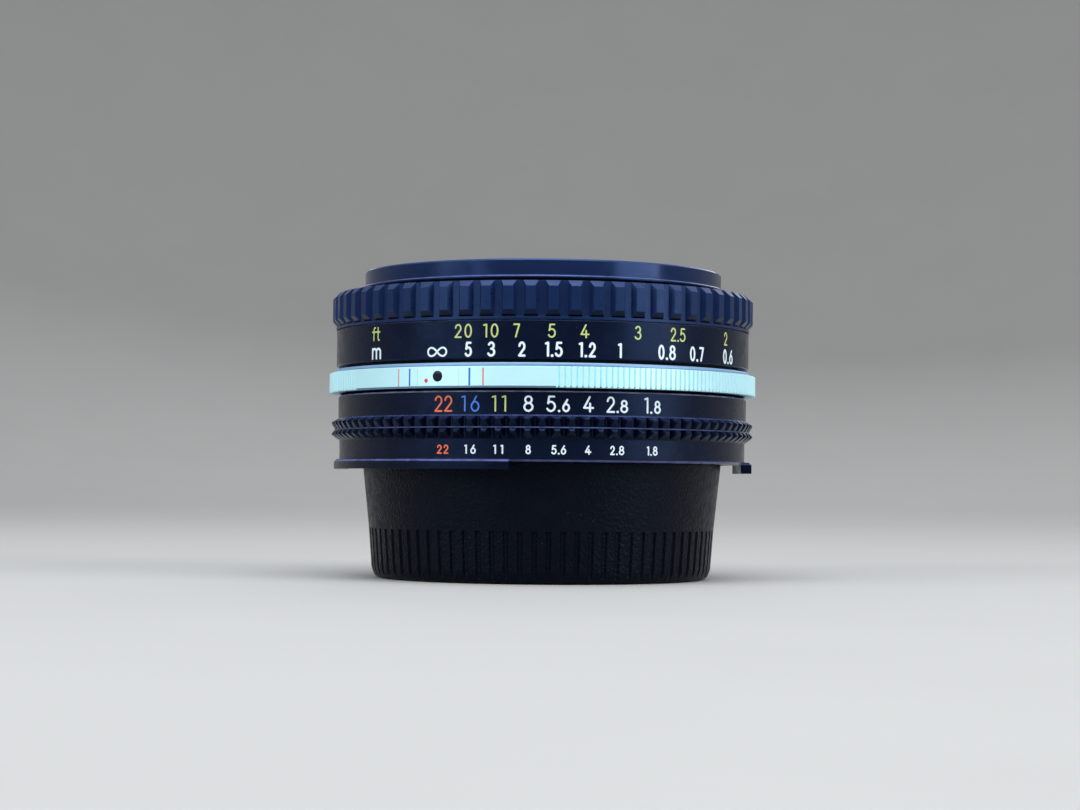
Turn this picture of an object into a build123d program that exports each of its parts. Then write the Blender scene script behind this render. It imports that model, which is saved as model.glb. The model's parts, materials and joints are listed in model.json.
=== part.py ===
from build123d import *
from math import asin, atan2, copysign, cos, degrees, hypot, radians, sin, sqrt
import os

os.makedirs("parts", exist_ok=True)

# A pancake standard lens for a single-lens reflex, standing on its rear cap.
# Millimetres. The optical axis is +Z and the front of the lens faces up. Angles in plan are
# counted from -Y, where the index dot side faces, and grow towards +X.
# Rest pose: cap fitted, focused at infinity, aperture ring and iris at the smallest stop.
# Radii run outwards in one chain of walls, steps and clearances, from the glass to the rings,
# and heights run from the rear cap's foot to the front ring.

# ---------------------------------------------------------------- clearances
run = 0.15               # radial clearance of rings that turn or slide on each other
play = 0.20              # axial clearance of captured rings
seat = 0.02              # clearance between pieces that are screwed or pressed together
screw_fit = 0.05         # clearance around a screw shank or head
glass_fit = 0.08         # radial clearance of a glass element in its cell
cell_fit = 0.10          # radial clearance of a lens cell in the hole that carries it
rooted = 0.3             # how deep a raised feature is rooted in the wall that carries it
past = 1.0               # how far a cut runs past the face that it opens

# ---------------------------------------------------------------- glass
g1_rim = 14.6
g2_rim_step = 2.0
g3_rim_step = 1.0
g4_rim = 10.1
g3_land = 1.1            # flat land around the hollow rear face of the third element
g4_land = 0.6            # flat land around the hollow front face of the fourth element
g1_thickness, g2_thickness, g3_thickness = 4.3, 4.6, 1.4
g4_thickness, g5_thickness, g6_thickness = 1.4, 5.0, 3.8
air_1_2, air_2_3, air_5_6 = 0.3, 0.8, 0.3
g1_front_curve, g1_back_curve = 31.0, 150.0
g2_front_curve, g2_back_curve = 21.0, 52.0
g3_front_curve, g3_back_curve = 60.0, 14.2
g4_front_curve, g4_back_curve, g5_back_curve = -15.5, 80.0, -22.0
g6_front_curve, g6_back_curve = 95.0, -36.0
g1_setback = 1.15        # from the front of the neck down to the front element's vertex

# ---------------------------------------------------------------- lens cells
front_cell_wall = 2.4
front_cell_collar = 1.7
front_cell_collar_height = 0.8
front_cell_lip = 0.26
front_thread_step = 0.5  # from the front element's edge out to its retainer's thread
retainer_height = 0.8
retainer_ledge = 0.75
front_retainer_hold = 0.6
second_retainer_hold = 0.8
rear_retainer_hold = 0.9
rear_retainer_setback = 0.3
front_spacer_width = 0.6
rear_spacer_width = 0.8
spacer_fit = 0.05
rear_cell_wall = 1.42
rear_cell_spigot_step = 0.9
rear_cell_flange_step = 1.4
rear_cell_flange_height = 0.78
rear_cell_lip = 0.27
rear_cell_lip_hold = 0.2
rear_cell_tail = 1.2

# ---------------------------------------------------------------- iris
blade_count = 7
blade_inner = 10.6
blade_width = 5.0
blade_pivot_step = 1.2
blade_from = 2.0
blade_to = 125.0
blade_thickness = 0.09
blade_pitch = 0.155
blade_boss = 0.95
blade_root_turn = 3.0
blade_pin_radius = 0.35
blade_pin_arm = 4.0
blade_pin_eye = 0.63
blade_pin_inset = 0.71   # pivot circle to drive pin circle, with the iris open
pin_end_play = 0.05
cam_clearance = 0.07
blade_lift = 0.1         # clearance under the lowest blade
iris_room = 0.38         # clearance between the top blade and the front cell
smallest_hole = 1.0
drive_turn = 14.0        # turn of the drive ring and stop-down lever over the aperture range
housing_floor = 0.85
housing_reach = 3.0      # pivot circle to the housing's outer wall
housing_wall = 0.5
housing_rim = 2.8
housing_flange_height = 0.8
housing_screw_radius = 0.5
housing_screw_head = 0.9
housing_screw_head_height = 0.6
housing_screw_count = 3
housing_screw_angle = 20.0
housing_screw_step = 1.5
window_margin = 3.0      # degrees that a slot runs past the piece that moves in it
drive_ring_hold = 1.3    # pivot circle in to the drive ring's bore
drive_ring_lift = 0.14
drive_ring_height = 0.6
clip_height = 0.5
clip_width = 2.2
clip_gap = 16.0
clip_lift = 0.12

# ---------------------------------------------------------------- stop-down lever
fork_clearance = 0.17    # iris housing's wall to the fork
fork_depth = 1.0
fork_angle = 235.0
fork_wall = 0.9
fork_gap = 1.2
fork_headroom = 3.4      # fork's top to the front barrel's web
rod_radius = 0.35
rod_clearance = 1.14     # rod's end to the lever ring
lever_clearance = 0.4    # iris housing's wall out to the lever's outer face
lever_thickness = 0.9
lever_angle = 60.0
lever_width = 3.0
lever_reach = 7.25       # how far the lever stands behind the flange face
lever_ring_width = 4.85
lever_ring_rim = 1.48    # fork's outer face to the ring's edge
lever_ring_height = 0.95
peg_step = 0.58
peg_angle = 195.0
peg_radius = 0.4
peg_height = 2.6
spring_lift = 0.95
spring_offset = 0.5
spring_hook = 0.75
spring_radius = 0.6
spring_wire = 0.12
spring_turns = 9
spring_length = 4.4
spring_post_gap = 1.6
spring_post_height = 1.8
spring_post_foot = 0.64
spring_post_foot_height = 0.4

# ---------------------------------------------------------------- bayonet mount
lever_slot_clearance = 0.4
plug_wall = 1.3
plug_length = 4.25
lug_depth = 1.4
lug_angle = 58.0
lug_height = 1.4
lug_setback = 1.4        # from the flange face to the front of the lugs
lug_count = 3
mount_screw_step = 1.45  # lever ring's edge to the screw circle
mount_screw_count = 3
mount_screw_radius = 0.6
mount_screw_head = 1.1
mount_screw_length = 4.0
mount_screw_angle = 60.0
mount_screw_cross = 1.2   # length of the arms of the cross recess
mount_screw_cross_width = 0.3
mount_screw_cross_depth = 0.45
flange_rim = 1.6         # screw circle to the flange's edge
flange_land = 0.8
shoulder_height = 1.2

# ---------------------------------------------------------------- rear baffle
baffle_clearance = 1.6   # rear cell to the baffle's bore
baffle_margin = 0.4
baffle_thickness = 0.6
baffle_screw_radius = 0.35
baffle_screw_head = 0.6
baffle_screw_head_height = 0.4
baffle_screw_head_inset = 0.3
baffle_screw_length = 1.8
baffle_screw_count = 3
baffle_screw_angle = 0.0

# ---------------------------------------------------------------- rear cap
cap_height = 16.75
cap_floor = 1.8
cap_recess = 0.6
cap_foot_rim = 4.62
cap_lug_clearance = 0.6
cap_wall = 1.22
cap_rib_height = 7.35
cap_rib_rise = 0.56      # how much wider the ribs stand at their top than at the foot
cap_top_rise = 1.56
cap_lip_height = 0.3     # of the rim that stands round the mount's flange
cap_rib_depth = 0.3
cap_rib_count = 80
cap_rib_root = 1.55
cap_rib_crest = 1.15
cap_edge = 1.2
cap_edge_land = 0.36
cap_tab_height = 1.2
cap_tab_drop = 0.1
cap_tab_clearance = 0.2
cap_tab_angle = 48.0

# ---------------------------------------------------------------- fixed barrel
lip_height = 0.9
lip_clearance = 0.23     # fork's outer face to the rear lip's bore
barrel_space = 2.4       # iris housing's flange out to the barrel's bore
barrel_wall = 1.7
shoulder_step = 0.9
tube_step = 2.4
tube_wall = 1.1
tube_length = 7.4
step_rim = 1.1
step_height = 0.8
shelf_rise = 2.87        # silver ring's rear face up to the shelf that carries the guide keys

# ---------------------------------------------------------------- aperture ring
ring_lift = 0.28         # rear edge of the ring above the flange face
rear_band_wall = 3.35
rear_band_height = 3.17
rear_band_bevel = 0.4
front_band_wall = 3.55
front_band_height = 3.38
front_band_bevel = 0.3
knurl_width = 3.25
knurl_root_step = 0.1
knurl_height = 1.05
knurl_waist_height = 0.55
knurl_foot_height = 0.05
knurl_count = 96
knurl_base = 1.75
knurl_crest = 0.6
knurl_rows = 2
knurl_ledge = 0.2        # height of the ledge that runs on round the front of each row
knurl_crest_from, knurl_crest_to = 0.52, 0.64
ridge_stand = 0.8        # above the rear number band
ridge_depth = 0.5        # into the rear number band
ridge_root = 0.4
ridge_drop = 1.05
ridge_bevel = 0.4
ridge_from = -98.0
ridge_to = -8.5
lug_extra_drop = 0.2
lug_extra_stand = 0.3
lug_from = 87.0
lug_to = 102.0
edge_break = 0.15
stop_step = 7.75         # degrees of ring travel for one stop
stops = (0, 1, 2, 3, 4, 5, 6, 7.3)

# ---------------------------------------------------------------- aperture ring detent
ball_radius = 0.9
ball_angle = 150.0
notch_radius = 0.8
notch_depth = 0.35
detent_height = 3.2      # of the ball above the rear lip
spring_strip_thickness = 0.25
spring_strip_height = 2.0
spring_strip_span = 22.0
spring_strip_overhang = 4.0
detent_screw_radius = 0.5
detent_screw_head = 0.9
detent_screw_head_height = 0.5
detent_screw_turn = -14.0
detent_screw_cover = 0.2

# ---------------------------------------------------------------- silver grip ring
grip_gap = 0.3
grip_wall = 1.53
grip_height = 2.92
grip_lip_step = 0.85
grip_lip_height = 0.55
grip_groove = 0.15       # groove at the foot of the lip
grip_groove_height = 0.15
grip_knurl_depth = 0.22
grip_knurl_valley = 0.34 # width of the grooves between the ribs
grip_knurl_pitch = 1.5
grip_knurl_count = 200
grip_notch_depth = 0.5   # deeper foot of the grooves at the rear edge
grip_plain_from = -56.7  # the smooth part that carries the depth of field marks
grip_foot_height = 0.22  # of the stepped rear edge of the smooth part, and of the notches
grip_break = 0.06

# ---------------------------------------------------------------- focus ring and rubber
focus_gap = 0.45
focus_clearance = 0.2    # barrel's tube to the focus ring's bore
focus_wall = 1.42
scale_height = 5.45
scale_edge = 0.15        # bevel at the front of the distance scale
rubber_groove = 0.6
rubber_height = 5.4
collar_clearance = 0.65  # front barrel's neck to the focus ring's collar
rubber_sink = 0.17
rubber_pad_height = 0.8
rubber_pad_count = 63
rubber_pad_base = 2.1
rubber_pad_crest = 1.25
rubber_pad_phase = -20.31
rubber_strip = 0.4
rubber_strip_rise = 0.12 # of the plain strip at the ring's rear over the focus ring
rubber_top_bevel = 0.82
rubber_bottom_bevel = 0.9

# ---------------------------------------------------------------- helicoid sleeve
sleeve_wall = 0.9
sleeve_rear_gap = 0.4
sleeve_lip_height = 1.0
sleeve_flange_gap = 0.1
set_screw_count = 3
set_screw_angle = 30.0
set_screw_radius = 0.6
set_screw_point = 0.4
set_screw_depth = 1.7
set_screw_cover = 0.1

# ---------------------------------------------------------------- front barrel
front_tube_wall = 1.6
front_lead = 0.85        # focus ring's front up to the neck's front
neck_height = 4.05
neck_wall = 0.45
web_height = 1.7
web_lift = 0.3

# ---------------------------------------------------------------- guide keys
key_width = 3.0
key_foot_width = 8.0
key_foot_height = 0.9
key_height = 7.3
key_thickness = 1.3
key_screw_radius = 0.4
key_screw_head_height = 0.4
key_screw_spread = 2.8
key_screw_length = 2.2
key_angles = (90.0, 270.0)
key_slot_fit = 0.1

# ---------------------------------------------------------------- filter and name rings
thread_ledge = 0.35      # neck's outside to the filter thread's major diameter
filter_wall = 0.6
filter_lip_step = 0.6
filter_lip_height = 0.45
filter_lip_gap = 0.35
filter_height = 2.35
filter_edge = 0.2
name_ring_depth = 1.25
name_ring_rim = 1.2
name_ring_land = 0.6
name_ring_foot = 1.4
name_ring_bore_step = 0.2
name_ring_fall = 2.0
name_ring_lip = 0.4
name_ring_bevel = 0.3
name_ring_bevel_height = 0.2


def sag(curve, radius):
    """Height of a spherical face at a radius over its vertex; a positive curve sags down."""
    return copysign(sqrt(curve * curve - radius * radius), curve) - curve


# ================================================================ radii, from the glass out
g2_rim = g1_rim - g2_rim_step
g3_rim = g2_rim - g3_rim_step
g3_clear = g3_rim - g3_land
g4_clear = g4_rim - g4_land
g1_thread = g1_rim + front_thread_step
g2_thread = g2_rim + retainer_ledge
front_cell_radius = g1_thread + front_cell_wall
front_cell_collar_radius = front_cell_radius + front_cell_collar
web_bore = front_cell_radius + cell_fit
name_ring_bore = g1_thread + name_ring_bore_step
rear_bore = g4_rim + glass_fit
rear_cell_radius = rear_bore + rear_cell_wall
rear_cell_spigot = rear_cell_radius + rear_cell_spigot_step
rear_cell_flange = rear_cell_spigot + rear_cell_flange_step
housing_bore = rear_cell_spigot + cell_fit
blade_outer = blade_inner + blade_width
blade_pivot_circle = blade_outer + blade_pivot_step
pin_circle_open = blade_pivot_circle - blade_pin_inset
drive_ring_inner = blade_pivot_circle - drive_ring_hold
front_cell_neck = drive_ring_inner - 2 * run
housing_radius = blade_pivot_circle + housing_reach
wall_inner = housing_radius - housing_wall
drive_ring_outer = wall_inner - run
housing_flange = housing_radius + housing_rim
housing_screw_circle = housing_radius + housing_screw_step
fork_inner = housing_radius + fork_clearance
fork_outer = fork_inner + fork_depth
fork_middle = (fork_inner + fork_outer) / 2
lever_outer = housing_radius + lever_clearance
lever_inner = lever_outer - lever_thickness
peg_circle = fork_inner + peg_step
lever_ring_outer = fork_outer + lever_ring_rim
lever_ring_inner = lever_ring_outer - lever_ring_width
lip_bore = fork_outer + lip_clearance
plug_bore = lever_outer + lever_slot_clearance
plug_radius = plug_bore + plug_wall
lug_radius = plug_radius + lug_depth
mount_screw_circle = lever_ring_outer + mount_screw_step
flange_radius = mount_screw_circle + flange_rim
baffle_bore = rear_cell_radius + baffle_clearance
baffle_radius = plug_radius - baffle_margin
baffle_screw_circle = (plug_bore + plug_radius) / 2
cap_bore_radius = lug_radius + cap_lug_clearance
cap_foot_radius = cap_bore_radius + cap_wall
cap_rib_top_radius = cap_foot_radius + cap_rib_rise
cap_top_radius = cap_foot_radius + cap_top_rise
cap_recess_radius = cap_foot_radius - cap_foot_rim
cap_lip_bore = flange_radius + run
cap_tab_radius = plug_radius + cap_tab_clearance
barrel_bore = housing_flange + barrel_space
barrel_radius = barrel_bore + barrel_wall
shoulder_radius = barrel_radius + shoulder_step
tube_outer = barrel_radius + tube_step
tube_inner = tube_outer - tube_wall
step_radius = tube_outer + step_rim
ring_bore = barrel_radius + run
rear_band_radius = ring_bore + rear_band_wall
front_band_radius = ring_bore + front_band_wall
knurl_root = rear_band_radius + knurl_root_step
knurl_waist = knurl_root + knurl_waist_height
knurl_radius = knurl_root + knurl_height
ridge_radius = rear_band_radius + ridge_stand
ridge_inner = rear_band_radius - ridge_depth
lug_edge = ridge_radius + lug_extra_stand
grip_radius = step_radius + seat + grip_wall
grip_lip_radius = grip_radius - grip_lip_step
sleeve_outer = tube_inner - run
sleeve_inner = sleeve_outer - sleeve_wall
front_tube_outer = sleeve_inner - run
front_tube_inner = front_tube_outer - front_tube_wall
key_mid = (front_tube_inner + front_tube_outer) / 2
key_inner = key_mid - key_thickness / 2
key_outer = key_mid + key_thickness / 2
neck_radius = front_tube_inner + neck_wall
sleeve_lip_bore = neck_radius + run
focus_bore = tube_outer + focus_clearance
focus_radius = focus_bore + focus_wall
sleeve_flange_radius = focus_bore - sleeve_flange_gap
focus_collar_bore = neck_radius + collar_clearance
rubber_seat_radius = focus_radius - rubber_groove
rubber_base_radius = focus_radius - rubber_sink
rubber_crest_radius = rubber_base_radius + rubber_pad_height
filter_thread_major = neck_radius + thread_ledge
filter_radius = filter_thread_major + filter_wall
filter_lip_radius = filter_radius + filter_lip_step

# ================================================================ heights, from the rear cap up
flange_face = cap_height
shoulder_face = flange_face + flange_land
mount_top = shoulder_face + shoulder_height
plug_back = flange_face - plug_length
lever_ring_back = mount_top + play
lever_ring_top = lever_ring_back + lever_ring_height
lip_face = lever_ring_top + play
lip_top = lip_face + lip_height
ring_back = flange_face + ring_lift
knurl_back = ring_back + rear_band_height
knurl_front = knurl_back + knurl_width
ring_front = knurl_front + front_band_height
ridge_top = ring_back + ridge_root
ridge_foot = ring_back - ridge_drop
grip_back = ring_front + grip_gap
shelf = grip_back + shelf_rise
tube_top = shelf + tube_length
grip_shoulder = grip_back + grip_height
grip_front = grip_shoulder + grip_lip_height
focus_back = grip_front + focus_gap
scale_top = focus_back + scale_height
focus_front = scale_top + rubber_height
web_back = shelf + web_lift
web_top = web_back + web_height
neck_top = focus_front + front_lead
front_shoulder = neck_top - neck_height
sleeve_lip_back = front_shoulder + play
sleeve_front = sleeve_lip_back + sleeve_lip_height
filter_back = focus_front + play + filter_lip_gap
filter_front = filter_back + filter_lip_height + filter_height
name_rim_top = neck_top - name_ring_depth
name_inner_top = name_rim_top - name_ring_fall
name_bottom = name_inner_top - name_ring_lip

# ================================================================ glass and iris, front to rear
g1_front = neck_top - g1_setback
g1_back = g1_front - g1_thickness
g2_front = g1_back - air_1_2
g2_back = g2_front - g2_thickness
g3_front = g2_back - air_2_3
g3_back = g3_front - g3_thickness
g1_seat = g1_back + sag(g1_back_curve, g1_rim) - seat
g1_edge = g1_front + sag(g1_front_curve, g1_rim)
g2_seat = g2_back + sag(g2_back_curve, g2_rim) - seat
g3_seat = g3_back + sag(g3_back_curve, g3_clear) - seat
cell_bottom = g3_seat - front_cell_lip
cell_top = name_bottom - seat
blades_height = (blade_count - 1) * blade_pitch + blade_thickness
blade_base = cell_bottom - iris_room - blades_height
stack_bottom = blade_base - blade_lift
housing_back = stack_bottom - housing_floor
ring_base = blade_base + blades_height + drive_ring_lift
ring_top = ring_base + drive_ring_height
g4_top = stack_bottom - rear_cell_lip - 2 * seat
g4_front = g4_top - seat - sag(g4_front_curve, g4_clear)
g4_back = g4_front - g4_thickness
g5_back = g4_back - g5_thickness
g6_front = g5_back - air_5_6
g6_back = g6_front - g6_thickness


def at(radius, angle):
    """Point in plan at a radius, its angle counted from -Y towards +X."""
    return (radius * sin(radians(angle)), -radius * cos(radians(angle)))


def turned(outline, mode=Mode.ADD):
    """Revolves a closed outline of (radius, height) points about the optical axis."""
    with BuildSketch(Plane.XZ) as section:
        with BuildLine():
            Polyline(*outline, close=True)
        make_face()
    revolve(section.sketch, axis=Axis.Z, mode=mode)


def turned_arc(outline, start, end, mode=Mode.ADD):
    """Revolves a closed outline of (radius, height) points between two plan angles."""
    out_x, out_y = at(1.0, start)
    with BuildSketch(Plane((0, 0, 0), x_dir=(out_x, out_y, 0), z_dir=(out_y, -out_x, 0))) as section:
        with BuildLine():
            Polyline(*outline, close=True)
        make_face()
    revolve(section.sketch, axis=Axis.Z, revolution_arc=end - start, mode=mode)


def band(inner, outer, low, high, mode=Mode.ADD):
    """A plain ring between two radii and two heights."""
    turned([(inner, low), (outer, low), (outer, high), (inner, high)], mode)


def sector_face(inner, outer, start, end):
    """A flat ring sector between two radii and two plan angles, as a sketch at height zero."""
    middle = (start + end) / 2
    with BuildSketch() as face:
        with BuildLine():
            ThreePointArc(at(outer, start), at(outer, middle), at(outer, end))
            Line(at(outer, end), at(inner, end))
            ThreePointArc(at(inner, end), at(inner, middle), at(inner, start))
            Line(at(inner, start), at(outer, start))
        make_face()
    return face.sketch


def sector(inner, outer, start, end, low, high, mode=Mode.ADD):
    """A ring sector between two heights."""
    face = sector_face(inner, outer, start, end).moved(Location((0, 0, low)))
    extrude(face, amount=high - low, mode=mode)


def peg(radius, circle, angle, low, high, mode=Mode.ADD):
    """An upright round pin, or with SUBTRACT a round hole, on a circle about the axis."""
    x, y = at(circle, angle)
    with BuildSketch(Plane.XY.offset(low)) as foot:
        with Locations((x, y)):
            Circle(radius)
    extrude(foot.sketch, amount=high - low, mode=mode)


def spaced(count, first):
    """Equally spaced plan angles."""
    return [first + 360.0 * i / count for i in range(count)]


def toothed_outline(count, root, crest, base_width, crest_width, phase):
    """Corner points of a ring of flat-topped teeth with sloping sides."""
    points = []
    for angle in spaced(count, phase):
        half_base = degrees(base_width / 2 / root)
        half_crest = degrees(crest_width / 2 / crest)
        points.append(at(root, angle - half_base))
        points.append(at(crest, angle - half_crest))
        points.append(at(crest, angle + half_crest))
        points.append(at(root, angle + half_base))
    return points


def toothed_prism(outline, low, high, mode=Mode.INTERSECT):
    """An upright prism on a toothed outline, which by default trims the part being built."""
    with BuildSketch(Plane.XY.offset(low)) as teeth:
        with BuildLine():
            Polyline(*outline, close=True)
        make_face()
    extrude(teeth.sketch, amount=high - low, mode=mode)


def glass(front, front_curve, back, back_curve, rim, front_clear=None, back_clear=None):
    """A lens element between two spherical faces, with flat lands outside a clear radius."""
    front_edge = rim if front_clear is None else front_clear
    back_edge = rim if back_clear is None else back_clear
    front_rim = front + sag(front_curve, front_edge)
    back_rim = back + sag(back_curve, back_edge)
    front_middle = (front_edge / 2, front + sag(front_curve, front_edge / 2))
    back_middle = (back_edge / 2, back + sag(back_curve, back_edge / 2))
    with BuildSketch(Plane.XZ) as section:
        with BuildLine():
            ThreePointArc((0, front), front_middle, (front_edge, front_rim))
            if front_clear is not None:
                Line((front_edge, front_rim), (rim, front_rim))
            Line((rim, front_rim), (rim, back_rim))
            if back_clear is not None:
                Line((rim, back_rim), (back_edge, back_rim))
            ThreePointArc((back_edge, back_rim), back_middle, (0, back))
            Line((0, back), (0, front))
        make_face()
    revolve(section.sketch, axis=Axis.Z)


# ================================================================ rear cap
cap_tab_top = cap_height - cap_tab_drop
cap_rib_outline = [
    toothed_outline(cap_rib_count, radius - cap_rib_depth, radius, cap_rib_root, cap_rib_crest, 0.0)
    for radius in (cap_foot_radius, cap_rib_top_radius)
]

with BuildPart() as rear_cap:
    with BuildSketch():
        with BuildLine():
            Polyline(*cap_rib_outline[0], close=True)
        make_face()
    with BuildSketch(Plane.XY.offset(cap_rib_height)):
        with BuildLine():
            Polyline(*cap_rib_outline[1], close=True)
        make_face()
    loft(ruled=True)
    turned([
        (0, 0),
        (cap_foot_radius - cap_edge, 0),
        (cap_foot_radius - cap_edge_land, cap_edge_land),
        (cap_foot_radius, cap_edge),
        (cap_top_radius, cap_rib_height),
        (0, cap_rib_height),
    ], Mode.INTERSECT)
    turned([
        (0, cap_rib_height),
        (cap_rib_top_radius, cap_rib_height),
        (cap_top_radius, cap_height),
        (cap_top_radius, cap_height + cap_lip_height),
        (cap_lip_bore, cap_height + cap_lip_height),
        (cap_lip_bore, cap_height),
        (0, cap_height),
    ])
    band(0, cap_bore_radius, cap_floor + cap_recess, cap_height + past, Mode.SUBTRACT)
    band(0, cap_recess_radius, -past, cap_recess, Mode.SUBTRACT)
    for middle in spaced(lug_count, 60.0):
        sector(cap_tab_radius, cap_bore_radius + rooted, middle - cap_tab_angle / 2,
               middle + cap_tab_angle / 2, cap_tab_top - cap_tab_height, cap_tab_top)

# ================================================================ bayonet mount and its screws
mount_screw_tip = flange_face + mount_screw_length
mount_screw_angles = spaced(mount_screw_count, mount_screw_angle)
baffle_screw_angles = spaced(baffle_screw_count, baffle_screw_angle)


def countersunk(circle, angle, face, shank, head, length, fit, mode=Mode.ADD):
    """A countersunk screw sunk upwards from a face, or with SUBTRACT its hole."""
    x, y = at(circle, angle)
    cone = head - shank
    with BuildSketch(Plane.XZ) as half:
        with BuildLine():
            Polyline((0, 0), (head + fit, 0), (shank + fit, cone), (shank + fit, length + fit),
                     (0, length + fit), close=True)
        make_face()
    screw = revolve(half.sketch, axis=Axis.Z, mode=Mode.PRIVATE)
    add(screw.moved(Location((x, y, face))), mode=mode)


with BuildPart() as bayonet_mount:
    turned([
        (plug_bore, plug_back),
        (plug_radius, plug_back),
        (plug_radius, flange_face),
        (flange_radius, flange_face),
        (flange_radius, shoulder_face),
        (shoulder_radius, shoulder_face),
        (shoulder_radius, mount_top),
        (plug_bore, mount_top),
    ])
    for middle in spaced(lug_count, 0.0):
        sector(plug_radius - rooted, lug_radius, middle - lug_angle / 2, middle + lug_angle / 2,
               flange_face - lug_setback - lug_height, flange_face - lug_setback)
    for angle in mount_screw_angles:
        countersunk(mount_screw_circle, angle, flange_face, mount_screw_radius, mount_screw_head,
                    mount_screw_length, screw_fit, Mode.SUBTRACT)
    for angle in baffle_screw_angles:
        peg(baffle_screw_radius + screw_fit, baffle_screw_circle, angle,
            plug_back - past, plug_back + baffle_screw_length, Mode.SUBTRACT)

with BuildPart() as mount_screws:
    for angle in mount_screw_angles:
        countersunk(mount_screw_circle, angle, flange_face + screw_fit, mount_screw_radius,
                    mount_screw_head, mount_screw_length - screw_fit, 0.0)
    with BuildSketch(Plane.XY.offset(flange_face + screw_fit)) as crosses:
        for angle in mount_screw_angles:
            with Locations(Location((*at(mount_screw_circle, angle), 0), (0, 0, angle))):
                Rectangle(mount_screw_cross, mount_screw_cross_width)
                Rectangle(mount_screw_cross_width, mount_screw_cross)
    extrude(crosses.sketch, amount=mount_screw_cross_depth, mode=Mode.SUBTRACT)

# ================================================================ rear baffle and its screws
baffle_back = plug_back - baffle_thickness
lever_half = degrees(lever_width / 2 / lever_inner)
slot_from = lever_angle - drive_turn - window_margin - lever_half
slot_to = lever_angle + window_margin + lever_half

with BuildPart() as rear_baffle:
    band(baffle_bore, baffle_radius, baffle_back, plug_back)
    sector(lever_inner - run * 2, lever_outer + run * 2, slot_from, slot_to,
           baffle_back - past, plug_back + past, Mode.SUBTRACT)
    for angle in baffle_screw_angles:
        peg(baffle_screw_radius + screw_fit, baffle_screw_circle, angle,
            baffle_back - past, plug_back + past, Mode.SUBTRACT)

with BuildPart() as baffle_screws:
    for angle in baffle_screw_angles:
        peg(baffle_screw_head, baffle_screw_circle - baffle_screw_head_inset, angle,
            baffle_back - baffle_screw_head_height, baffle_back)
        peg(baffle_screw_radius, baffle_screw_circle, angle,
            baffle_back, plug_back + baffle_screw_length - screw_fit)

# ================================================================ fixed barrel
ball_height = lip_top + detent_height
ball_centre = barrel_radius + run / 2 - ball_radius
detent_screw_angle = ball_angle + detent_screw_turn


def radial_pin(radius, inner, outer, angle, height, mode=Mode.ADD):
    """A round pin or hole that runs outwards along a radius."""
    x, y = at(inner, angle)
    dx, dy = at(1, angle)
    plane = Plane(origin=(x, y, height), z_dir=(dx, dy, 0))
    with BuildSketch(plane) as foot:
        Circle(radius)
    extrude(foot.sketch, amount=outer - inner, mode=mode)


with BuildPart() as mount_barrel:
    turned([
        (lever_ring_outer + run, mount_top),
        (barrel_radius, mount_top),
        (barrel_radius, grip_back),
        (step_radius, grip_back),
        (step_radius, grip_back + step_height),
        (tube_outer, grip_back + step_height),
        (tube_outer, tube_top),
        (tube_inner, tube_top),
        (tube_inner, shelf),
        (barrel_bore, shelf),
        (barrel_bore, lip_top),
        (lip_bore, lip_top),
        (lip_bore, lip_face),
        (lever_ring_outer + run, lip_face),
    ])
    for angle in mount_screw_angles:
        peg(mount_screw_radius + screw_fit, mount_screw_circle, angle,
            mount_top - past, mount_screw_tip + screw_fit, Mode.SUBTRACT)
    radial_pin(ball_radius + screw_fit, barrel_bore - past, barrel_radius + past, ball_angle,
               ball_height, Mode.SUBTRACT)
    radial_pin(detent_screw_radius + screw_fit, barrel_bore - past,
               barrel_radius - detent_screw_cover, detent_screw_angle, ball_height, Mode.SUBTRACT)
    for key_angle in key_angles:
        for side in (-1, 1):
            offset = degrees(side * key_screw_spread / key_mid)
            peg(key_screw_radius + screw_fit, key_mid, key_angle + offset,
                shelf - key_screw_length, shelf + past, Mode.SUBTRACT)

# ================================================================ guide keys and their screws


def key_box(angle, width, low, high, inner=key_inner, outer=key_outer, mode=Mode.ADD):
    """A block of the guide key's section, centred on a plan angle."""
    half = degrees(width / 2 / key_mid)
    sector(inner, outer, angle - half, angle + half, low, high, mode)


key_screw_top = shelf + key_foot_height + key_screw_head_height

with BuildPart() as guide_keys:
    for key_angle in key_angles:
        key_box(key_angle, key_width, shelf, shelf + key_height)
        key_box(key_angle, key_foot_width, shelf, shelf + key_foot_height)
        for side in (-1, 1):
            offset = degrees(side * key_screw_spread / key_mid)
            peg(key_screw_radius + screw_fit, key_mid, key_angle + offset,
                shelf - past, shelf + key_foot_height + past, Mode.SUBTRACT)

with BuildPart() as key_screws:
    for key_angle in key_angles:
        for side in (-1, 1):
            place = key_angle + degrees(side * key_screw_spread / key_mid)
            peg(key_screw_radius, key_mid, place, shelf - key_screw_length + screw_fit,
                shelf + key_foot_height)
            peg(key_thickness / 2, key_mid, place, shelf + key_foot_height,
                key_screw_top)

# ================================================================ aperture ring detent
with BuildPart() as detent_ball:
    with Locations((*at(ball_centre, ball_angle), ball_height)):
        Sphere(ball_radius)

strip_outer = ball_centre - ball_radius - seat
strip_inner = strip_outer - spring_strip_thickness
strip_end = ball_angle + spring_strip_overhang
screw_face = strip_inner - seat

with BuildPart() as detent_spring:
    sector(strip_inner, strip_outer, strip_end - spring_strip_span, strip_end,
           ball_height - spring_strip_height / 2, ball_height + spring_strip_height / 2)
    radial_pin(detent_screw_radius + screw_fit, strip_inner - past, strip_outer + past,
               detent_screw_angle, ball_height, Mode.SUBTRACT)

with BuildPart() as detent_screw:
    radial_pin(detent_screw_head, screw_face - detent_screw_head_height, screw_face,
               detent_screw_angle, ball_height)
    radial_pin(detent_screw_radius, screw_face, barrel_radius - detent_screw_cover - screw_fit,
               detent_screw_angle, ball_height)

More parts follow.
